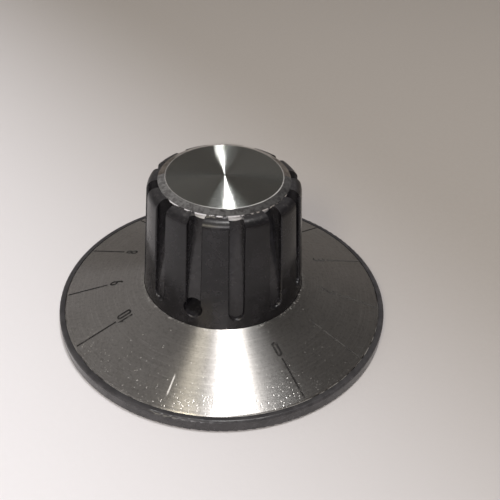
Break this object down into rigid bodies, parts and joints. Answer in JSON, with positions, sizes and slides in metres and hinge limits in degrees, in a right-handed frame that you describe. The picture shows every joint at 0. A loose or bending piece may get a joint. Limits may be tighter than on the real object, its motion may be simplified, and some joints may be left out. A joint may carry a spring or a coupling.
{
  "type": "fluted dial knob",
  "caption": "Black fluted instrument knob with an aluminium top cap, a conical aluminium dial skirt, a brass shaft bush and a set screw.",
  "frame": {"origin": "centre of the rim's foot, on the shaft axis, in the plane that the knob stands on", "axes": "+Z along the shaft axis from the foot to the cap, -Y along the set screw's axis towards its outer end"},
  "size_m": [0.046, 0.046, 0.0217],
  "materials": {
    "black_moulding": "glossy black moulding with light handling wear",
    "spun_aluminium": "spun, with fine lines round the axis, printed black graduations and numbers, dusty near the rim",
    "turned_aluminium": "face-turned, with a bright bevel",
    "brass": "turned",
    "screw_steel": "plain"
  },
  "bodies": {
    "root": {"knob_body": "black_moulding", "dial_skirt": "spun_aluminium", "top_cap": "turned_aluminium", "shaft_bush": "brass", "set_screw": "screw_steel"}
  },
  "joints": []
}
